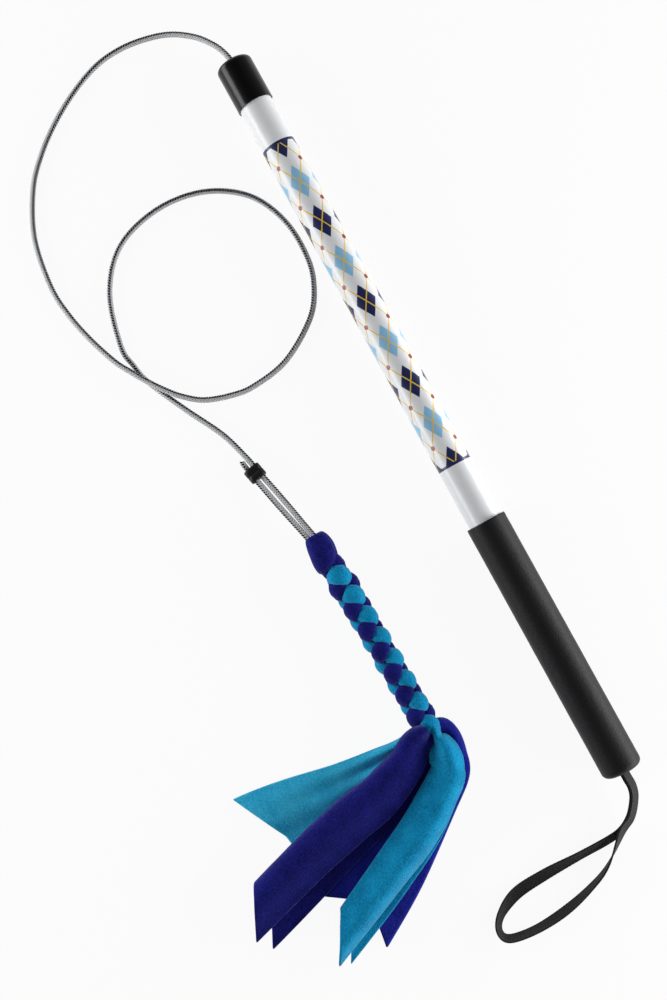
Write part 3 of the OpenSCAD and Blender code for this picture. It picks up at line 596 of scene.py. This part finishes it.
# wrist strap: one length of webbing, doubled where it leaves the butt and then open as a loop
strapSize = {"reach": 140, "hinge": -112.3, "inside": -94, "width": 10, "thick": 1.3, "plyGap": 0.2,
             "tooth": 0.11, "toothPitch": 1.5, "toothFrom": 0.8, "clear": 0.3, "steps": 28, "stemStep": 0.6}
strapShares = [  # x, y, height left to fall, turn of the webbing, share of doubling
    (0.00, 0.00, 1.00, 130, 1), (-0.05, 0.00, 0.96, 130, 1), (-0.11, 0.02, 0.80, 130, 1),
    (-0.19, 0.08, 0.52, 131, 1), (-0.24, 0.16, 0.24, 132, 1), (-0.25, 0.26, 0.08, 134, 0),
    (-0.25, 0.43, 0.00, 136, 0), (-0.25, 0.63, 0.00, 156, 0), (-0.265, 0.81, 0.00, 164, 0),
    (-0.32, 0.935, 0.00, 134, 0), (-0.39, 0.985, 0.00, 118, 0), (-0.45, 0.955, 0.00, 114, 0),
    (-0.475, 0.81, 0.00, 113, 0), (-0.465, 0.63, 0.00, 117, 0), (-0.425, 0.455, 0.00, 102, 0),
    (-0.365, 0.31, 0.05, 86, 0), (-0.24, 0.16, 0.24, 50, 1), (-0.19, 0.08, 0.52, 49, 1),
    (-0.11, 0.02, 0.80, 50, 1), (-0.05, 0.00, 0.96, 50, 1), (0.00, 0.00, 1.00, 50, 1)]
strapWay = smoothThrough(strapShares, strapSize["steps"])
turns = np.radians(strapWay[:, 3])
tall = strapSize["width"] * abs(np.sin(turns)) + strapSize["thick"] * abs(np.cos(turns))
restZ = floorZ + strapSize["clear"] + tall / 2
strapLine = np.stack([strapSize["hinge"] + strapWay[:, 0] * strapSize["reach"],
                      strapWay[:, 1] * strapSize["reach"], restZ * (1 - strapWay[:, 2])], 1)
strapHead = headings(strapLine)
strapHead[0], strapHead[-1] = (-1, 0, 0), (1, 0, 0)
inward = np.arange(strapSize["inside"], strapSize["hinge"], -strapSize["stemStep"])
stem = len(inward)
stemIn = np.stack([inward, 0 * inward, 0 * inward], 1)
strapLine = np.concatenate([stemIn, strapLine, stemIn[::-1]])
strapHead = np.concatenate([np.tile((-1, 0, 0), (stem, 1)), strapHead, np.tile((1, 0, 0), (stem, 1))])
turns = np.concatenate([np.full(stem, turns[0]), turns, np.full(stem, turns[-1])])
doubled = np.concatenate([np.ones(stem), np.clip(strapWay[:, 4], 0, None), np.ones(stem)])
strapRun = runLengths(strapLine)
# half of a webbing section: place across as a share, half thickness as a share
webSection = [(-1, 0.35), (-0.985, 0.75), (-0.93, 1.06), (-0.84, 1.06), (-0.78, 0.94), (-0.4, 1), (0, 1),
              (0.4, 1), (0.78, 0.94), (0.84, 1.06), (0.93, 1.06), (0.985, 0.75), (1, 0.35)]
strapRows, strapUv = [], []
for at, t, turn, double, run in zip(strapLine, strapHead, turns, doubled, strapRun):
    left = np.array((-t[1], t[0], 0)) / math.hypot(t[0], t[1])
    across = math.cos(turn) * left + math.sin(turn) * np.cross(t, left)
    out = np.cross(t, across)
    at = at + out * double * (strapSize["thick"] + strapSize["plyGap"]) / 2
    tooth = strapSize["tooth"] * math.sin(2 * math.pi * run / strapSize["toothPitch"])
    row = []
    for face, section in ((1, webSection), (-1, webSection[::-1])):
        for share, thick in section:
            wide = share * strapSize["width"] / 2
            wide += tooth * np.sign(share) * (abs(share) > strapSize["toothFrom"])
            row.append(at + across * wide + out * face * thick * strapSize["thick"] / 2)
            strapUv.append(((share + 1) / 2 * strapSize["width"] * mm, run * mm))
    strapRows.append(row)
strap = skinRows("wristStrap", strapRows, caps=(True, True), uv=strapUv)
# nylon webbing, plain woven: black yarns in rows across, with a thicker bound edge, and the gaps between
# yarns painted darker as shade
webbing, tree, shader = newMaterial("blackNylonWebbing", {
    "Roughness": 0.75, "Specular IOR Level": 0.3, "Sheen Weight": 0.08})
yarn = {"across": 0.9, "along": 1.4}  # mm between yarns, twice as coarse as real ones so that they show
place = addNode(tree, "ShaderNodeUVMap", uv_map="UVMap").outputs[0]
axes = addNode(tree, "ShaderNodeSeparateXYZ", {0: place}).outputs
warp = addNode(tree, "ShaderNodeMath", {0: axes[0]}, {1: yarn["across"] * mm}, operation="DIVIDE").outputs[0]
step = addNode(tree, "ShaderNodeMath", {0: warp}, operation="FLOOR").outputs[0]
weft = addNode(tree, "ShaderNodeMath", {0: axes[1]}, {1: yarn["along"] * mm}, operation="DIVIDE").outputs[0]
weft = addNode(tree, "ShaderNodeMath", {0: step, 2: weft}, {1: 0.5}, operation="MULTIPLY_ADD").outputs[0]
domes = []
for course in (warp, weft):
    dome = addNode(tree, "ShaderNodeMath", {0: course}, {1: math.pi}, operation="MULTIPLY").outputs[0]
    dome = addNode(tree, "ShaderNodeMath", {0: dome}, operation="SINE").outputs[0]
    domes.append(addNode(tree, "ShaderNodeMath", {0: dome}, operation="ABSOLUTE").outputs[0])
weave = addNode(tree, "ShaderNodeMath", {0: domes[0], 1: domes[1]}, operation="MULTIPLY").outputs[0]
# painted shade: the weave's gaps are coloured darker than the yarns' crests
tint = addNode(tree, "ShaderNodeMix", {"Factor": weave}, {6: linear("#08070a"), 7: linear("#1b1a1d")},
               data_type="RGBA").outputs[2]
bump = addNode(tree, "ShaderNodeBump", {"Height": weave}, {"Strength": 0.6, "Distance": 0.3 * mm}).outputs[0]
linkInputs(tree, shader, {"Base Color": tint, "Normal": bump})
dress(strap, webbing, None, ["wrist_strap", "strap_anchor"])
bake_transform(strap)
print("strap made:", round(strapRun[-1]), "mm,", len(strap.data.polygons), "faces")

# lure: the fleece knot, the braid of four strips, and their loose tails
lureTurn = math.radians(182.5)
lureX = np.array([math.cos(lureTurn), math.sin(lureTurn), 0])
lureY = np.array([-math.sin(lureTurn), math.cos(lureTurn), 0])
lureFloor = floorZ - bight[2]


def lurePoint(x, y, z):
    return bight + lureX * x + lureY * y + np.array([0, 0, z])


def makeFleece(name, deep, pile, tip):
    # polar fleece, knitted polyester brushed to a short pile: dull, with a soft bloom at a low angle
    material, tree, shader = newMaterial(name, {
        "Roughness": 0.95, "IOR": 1.4, "Specular IOR Level": 0.1, "Sheen Weight": 0.8,
        "Sheen Roughness": 0.35, "Sheen Tint": linear(tip)})
    place = addNode(tree, "ShaderNodeTexCoord").outputs["Object"]
    nap = addNode(tree, "ShaderNodeTexNoise", {"Vector": place},
                  {"Scale": 1 / (14 * mm), "Detail": 3}).outputs["Fac"]
    tuft = addNode(tree, "ShaderNodeTexNoise", {"Vector": place},
                   {"Scale": 1 / (1.1 * mm), "Detail": 5, "Roughness": 0.65}).outputs["Fac"]
    pill = addNode(tree, "ShaderNodeTexVoronoi", {"Vector": place}, {"Scale": 1 / (2.4 * mm)},
                   feature="SMOOTH_F1").outputs["Distance"]
    shade = addNode(tree, "ShaderNodeMath", {0: nap, 2: tuft}, {1: 0.35}, operation="MULTIPLY_ADD").outputs[0]
    shade = addNode(tree, "ShaderNodeMapRange", {"Value": shade},
                    {"From Min": 0.48, "From Max": 0.86}).outputs[0]
    tint = addNode(tree, "ShaderNodeMix", {"Factor": shade}, {6: linear(deep), 7: linear(pile)},
                   data_type="RGBA").outputs[2]
    height = addNode(tree, "ShaderNodeMath", {0: pill, 2: tuft}, {1: -0.35},
                     operation="MULTIPLY_ADD").outputs[0]
    bump = addNode(tree, "ShaderNodeBump", {"Height": height},
                   {"Strength": 0.8, "Distance": 0.9 * mm}).outputs[0]
    linkInputs(tree, shader, {"Base Color": tint, "Normal": bump})
    return material


purple = makeFleece("purplePolarFleece", "#070a42", "#22248c", "#a4a8f0")
turquoise = makeFleece("turquoisePolarFleece", "#006e9f", "#18aade", "#b4e4f6")
fleeces = {"purple": purple, "turquoise": turquoise}
# two tails get paler copies of their fleece: painted light, standing in for the brighter light that they
# catch
litFleeceCopies = {"turquoise_left": makeFleece("turquoiseFleecePaintedLight", "#16a4da", "#4cd2fa", "#c8ecf8"),
              "purple_right": makeFleece("purpleFleecePaintedLight", "#0f1470", "#2c34b4", "#a4b0f0")}

# knot: an egg of wrapped fleece with a turned-in mouth for the cord
headShape = [  # place along the lure, its middle across, half width, half height
    (4, 1, 3, 2.4), (1, 1, 4.4, 3.4), (-2, 1, 5, 4.6), (-3.8, 1, 5.2, 5.4), (-4.5, 1.3, 6, 6.6),
    (-4.2, 1.5, 7, 7.6), (-2.8, 1.7, 8.2, 8.7), (0, 1.8, 9.3, 9.5), (4, 1.7, 10.1, 10.3),
    (9, 1.2, 10.6, 10.9), (14, 0.4, 10.6, 11), (18, -0.6, 10, 10.6), (21.2, -1.6, 8.7, 9.4),
    (23.4, -2.4, 6.6, 7.2), (24.5, -2.8, 4, 4.3), (24.8, -2.9, 1.2, 1.2)]
headSize = {"steps": 4, "round": 56, "radius": 11, "mouth": (-5, 1), "lump": 0.5, "lumpAlong": 0.12,
            "lumpRound": 3}
headFolds = [(0.35, 140, -3.2, 0.14), (0.5, 250, 2.2, 0.16)]  # depth, place round, its drift along, width
headRows = []
for x, middle, wide, high in smoothThrough(headShape, headSize["steps"]):
    row = []
    for a in np.linspace(0, 2 * math.pi, headSize["round"], endpoint=False):
        fold = 0
        for depth, turn, drift, width in headFolds:
            fold += depth * math.exp(-((a - math.radians(turn + drift * x)) / width) ** 2)
        far = headSize["lumpRound"]
        lump = noise.noise((x * headSize["lumpAlong"], far * math.cos(a), far * math.sin(a)))
        rise = headSize["lump"] * lump - fold * smoothStep(*headSize["mouth"], x)
        k = 1 + rise / headSize["radius"]
        row.append(lurePoint(x, middle + k * wide * math.cos(a), k * high * math.sin(a)))
    headRows.append(row)
head = skinRows("lureKnot", headRows, caps=(True, True))
dress(head, purple, "lure", ["lure_head"])

# braid: two strips wind each way and pass over and under
braidSize = {"start": 26.3, "length": 140, "pitch": 37.2, "mean": 4.2, "wave": 2.2, "width": 14.4,
             "thick": 8.8, "pinch": 0.38, "face": 25, "middleZ": lureFloor + 10.3, "clear": 0.3,
             "tuck": (0.05, 0.04), "bulge": 0.2, "fuzz": 0.075, "fuzzStep": 0.35, "steps": 230, "round": 28}
# how the braid leans, swells and turns on its way
braidLay = {"place": (0, 0.2, 0.45, 1), "across": (1.8, 1.9, 1.9, 1), "plump": (1.2, 1.06, 0.96, 1.02),
            "turnEnd": -7, "turnStart": -25, "turnSwing": 56, "headEnd": 0.06, "headShare": 0.5}
strips = {  # colour, way round the braid, angle at the braid's end
    "turquoise_left": ("turquoise", 1, 250), "turquoise_right": ("turquoise", 1, 430),
    "purple_left": ("purple", -1, 340), "purple_right": ("purple", -1, 160)}


def strandMiddle(share, spin, finish):
    a = np.radians(finish + spin * 360 * (share - 1) * braidSize["length"] / braidSize["pitch"])
    rise = spin * np.cos(2 * (a - math.radians(braidSize["face"])))
    # the knot draws the strands together
    spread = smoothStep(-braidSize["tuck"][0], braidLay["headEnd"], share)
    spread = braidLay["headShare"] + (1 - braidLay["headShare"]) * spread
    r = (braidSize["mean"] + braidSize["wave"] * rise) * spread
    a = a + np.radians(braidLay["turnStart"] + (braidLay["turnEnd"] - braidLay["turnStart"]) * share
                       + braidLay["turnSwing"] * np.sin(np.pi * share))
    return np.stack([braidSize["start"] + share * braidSize["length"],
                     r * np.sin(a) + np.interp(share, braidLay["place"], braidLay["across"]),
                     braidSize["middleZ"] + r * np.cos(a)], -1), a, rise


for name, (colour, spin, finish) in strips.items():
    shares = np.linspace(-braidSize["tuck"][0], 1 + braidSize["tuck"][1], braidSize["steps"])
    line, turnsAt, rises = strandMiddle(shares, spin, finish)
    rows = []
    plumps = np.interp(shares, braidLay["place"], braidLay["plump"])
    for at, t, a, rise, plump in zip(line, headings(line), turnsAt, rises, plumps):
        flat = np.cross((0, math.sin(a), math.cos(a)), t)
        flat /= np.linalg.norm(flat)
        out = np.cross(t, flat)
        wide = plump * braidSize["width"] * (1 - braidSize["pinch"] * (1 - rise) / 2) / 2
        deep = plump * braidSize["thick"] * (1 + braidSize["bulge"] * rise) / 2
        row = []
        for k in np.linspace(0, 2 * math.pi, braidSize["round"], endpoint=False):
            q = at + flat * wide * math.cos(k) + out * deep * math.sin(k)
            q = q + (q - at) * noise.noise(q * braidSize["fuzzStep"]) * braidSize["fuzz"]
            row.append(lurePoint(q[0], q[1], max(q[2], lureFloor + braidSize["clear"])))
        rows.append(row)
    strand = skinRows("strand_" + name, rows, caps=(True, True))
    dress(strand, fleeces[colour], "lure", ["strip_" + name])
print("knot and braid made")

# tails: each strip spreads from its strand and lies flat or folded on itself
tailSize = {"length": 185, "width": 88, "cloth": 2.2, "clothSolid": 2.4, "seat": 2, "clear": 0.3,
            "lift": 0.25, "bundle": 0.25, "bundleEnd": 0.25, "slackMost": 3, "calmFrom": (0.35, 0.6),
            "flareFrom": 0.6, "crowding": 1.6, "wave": 0.018, "sway": 0.5, "swayStep": 0.045,
            "swayFrom": (0.1, 0.4), "steps": 14, "across": 56}
# fold: the side that turns under, or 0; under: the lower layer's width as a share of the upper one's;
# flare: what the end adds to that; cut: slope of the end on each side; back, underShort: mm cut off;
# pleats, pleat: their number and most height; calm: how far they lie down under another tail;
# puff, skew: the upper layer's rise and where its crest is; lay: height of what lies below
# shares: along the lure, across it, height left to fall, width
tails = {
    "turquoise_left": {
        "fold": 0, "under": 0, "flare": 0, "foldRadius": 0, "cut": (-0.54, -0.2), "back": 7, "pleats": 4,
        "pleat": 6, "underShort": 0, "puff": 0, "skew": 1, "lay": 0, "calm": 0.8,
        "shares": [
            (0.00, 0.00, 1.00, 0.09), (0.03, -0.065, 0.35, 0.24), (0.065, -0.175, 0.00, 0.44),
            (0.085, -0.375, 0.00, 0.68), (0.085, -0.575, 0.00, 0.90), (0.075, -0.74, 0.00, 0.98)]},
    "purple_right": {
        "fold": 1, "under": 0.95, "flare": 0, "foldRadius": 1.2, "cut": (-0.6, 0.68), "back": 12, "pleats": 2,
        "pleat": 4, "underShort": 0, "puff": 0.03, "skew": 1, "lay": 0, "calm": 0.8,
        "shares": [
            (0.00, 0.00, 0.95, 0.08), (0.022, 0.04, 0.85, 0.135), (0.076, 0.051, 0.62, 0.15),
            (0.146, 0.032, 0.38, 0.17), (0.216, -0.008, 0.18, 0.205), (0.286, -0.138, 0.00, 0.295),
            (0.395, -0.40, 0.00, 0.57), (0.494, -0.632, 0.00, 0.685)]},
    "purple_left": {
        "fold": -1, "under": 1.2, "flare": 0.19, "foldRadius": 2.2, "cut": (0.92, 0.92), "back": 0,
        "pleats": 2, "pleat": 3, "underShort": 16, "puff": 0.22, "skew": 0.62, "lay": 4.6, "calm": 0,
        "shares": [
            (0.00, 0.00, 1.00, 0.10), (0.005, -0.03, 0.90, 0.18), (0.03, -0.078, 0.65, 0.25),
            (0.08, -0.145, 0.30, 0.30), (0.132, -0.30, 0.00, 0.37), (0.155, -0.457, 0.00, 0.39),
            (0.193, -0.653, 0.00, 0.375), (0.27, -0.969, 0.00, 0.36)]},
    "turquoise_right": {
        "fold": -1, "under": 1, "flare": 0.26, "foldRadius": 1.6, "cut": (1.4, 1.4), "back": 0, "pleats": 3,
        "pleat": 3.5, "underShort": 15, "puff": 0.36, "skew": 1.4, "lay": 6.4, "calm": 0.95,
        "shares": [
            (0.00, 0.00, 0.95, 0.08), (0.042, -0.008, 0.90, 0.09), (0.07, -0.003, 0.84, 0.17),
            (0.107, -0.009, 0.72, 0.245), (0.157, -0.028, 0.52, 0.28), (0.216, -0.074, 0.30, 0.295),
            (0.312, -0.233, 0.00, 0.34), (0.407, -0.4585, 0.00, 0.315), (0.527, -0.758, 0.00, 0.275)]}}
for name, tail in tails.items():
    colour, spin, finish = strips[name]
    start = strandMiddle(np.array([1.0]), spin, finish)[0][0] - np.array([tailSize["seat"], 0, 0])
    way = smoothThrough(tail["shares"], tailSize["steps"])
    spineLine = way[:, :2] * tailSize["length"]
    ahead = headings(spineLine)
    lay = tailSize["clear"] + tail["lay"]
    r, cloth, side = tail["foldRadius"], tailSize["clothSolid"], tail["fold"]
    rows = []
    for i, (p, at, t) in enumerate(zip(way, spineLine, ahead)):
        v = i / (len(way) - 1)
        fall, w = min(max(p[2], 0), 1), p[3] * tailSize["width"]
        base = (lureFloor + lay) * (1 - fall) + (start[2] - cloth) * fall
        slack = tailSize["width"] / ((1 + tail["under"]) * w)  # cloth to spare where the tail is narrow
        slack = min(max(slack, 1), tailSize["slackMost"])
        pleat = min(w / (math.pi * tail["pleats"]) * math.sqrt(2 * (slack ** 2 - 1)), tail["pleat"])
        pleat *= 1 - tail["calm"] * smoothStep(*tailSize["calmFrom"], v)
        gather = 1 - smoothStep(0, tailSize["bundleEnd"], v)  # the cloth stands up where it is bunched
        row = []
        for k in range(tailSize["across"] + 1):
            share = k / tailSize["across"]
            ripple = (1 - math.cos(2 * math.pi * tail["pleats"] * share)) / 2 * pleat
            shorter = tail["back"]
            if side == 0:
                q = w * (0.5 - share)
                z = cloth / 2 + tailSize["wave"] * w * v * (1 - math.cos(4 * math.pi * share)) / 2 + ripple
            else:
                upper = w - r + math.pi * r / 2
                s = 2 * share - 1
                under = tail["under"] + tail["flare"] * smoothStep(tailSize["flareFrom"], 1, v)
                x = (-upper if s < 0 else under * upper) * abs(s) ** tailSize["crowding"]
                a = min(max(x / r, -math.pi / 2), math.pi / 2)
                far = r + abs(x) - math.pi * r / 2 if abs(x) > math.pi * r / 2 else r * (1 - math.cos(x / r))
                hump = math.sin(math.pi * min(-x / upper, 1) ** tail["skew"]) if x < 0 else 0
                puff = (tail["puff"] + tailSize["bundle"] * gather) * w * hump + ripple if x < 0 else 0
                q = side * (w / 2 - far)
                z = r + cloth / 2 - r * math.sin(a) + puff
                shorter += tail["underShort"] if x > 0 else 0
            left = np.array((-t[1], t[0]))
            trim = tail["cut"][0 if q < 0 else 1] * q - shorter
            flat = at + left * q + t * trim * v * v
            sway = tailSize["sway"] * noise.noise((*(flat * tailSize["swayStep"]), finish))
            z += sway * smoothStep(*tailSize["swayFrom"], v) + tailSize["lift"]
            z = max(z, lureFloor + tailSize["clear"] + cloth / 2 - base)
            row.append(lurePoint(start[0] + flat[0], start[1] + flat[1], base + z))
        rows.append(row)
    piece = skinRows("tail_" + name, rows, wrap=False)
    solid = piece.modifiers.new("cloth", "SOLIDIFY")
    solid.thickness = tailSize["cloth"] * mm
    solid.offset = 0
    finer = piece.modifiers.new("soft", "SUBSURF")
    finer.levels = finer.render_levels = 1
    # the two tails listed above wear paler, painted-light copies of their fleece
    dress(piece, litFleeceCopies.get(name, fleeces[colour]), "lure", ["strip_" + name])
    tail["long"] = round(runLengths(spineLine)[-1])
print("tails made")

print("scene done")
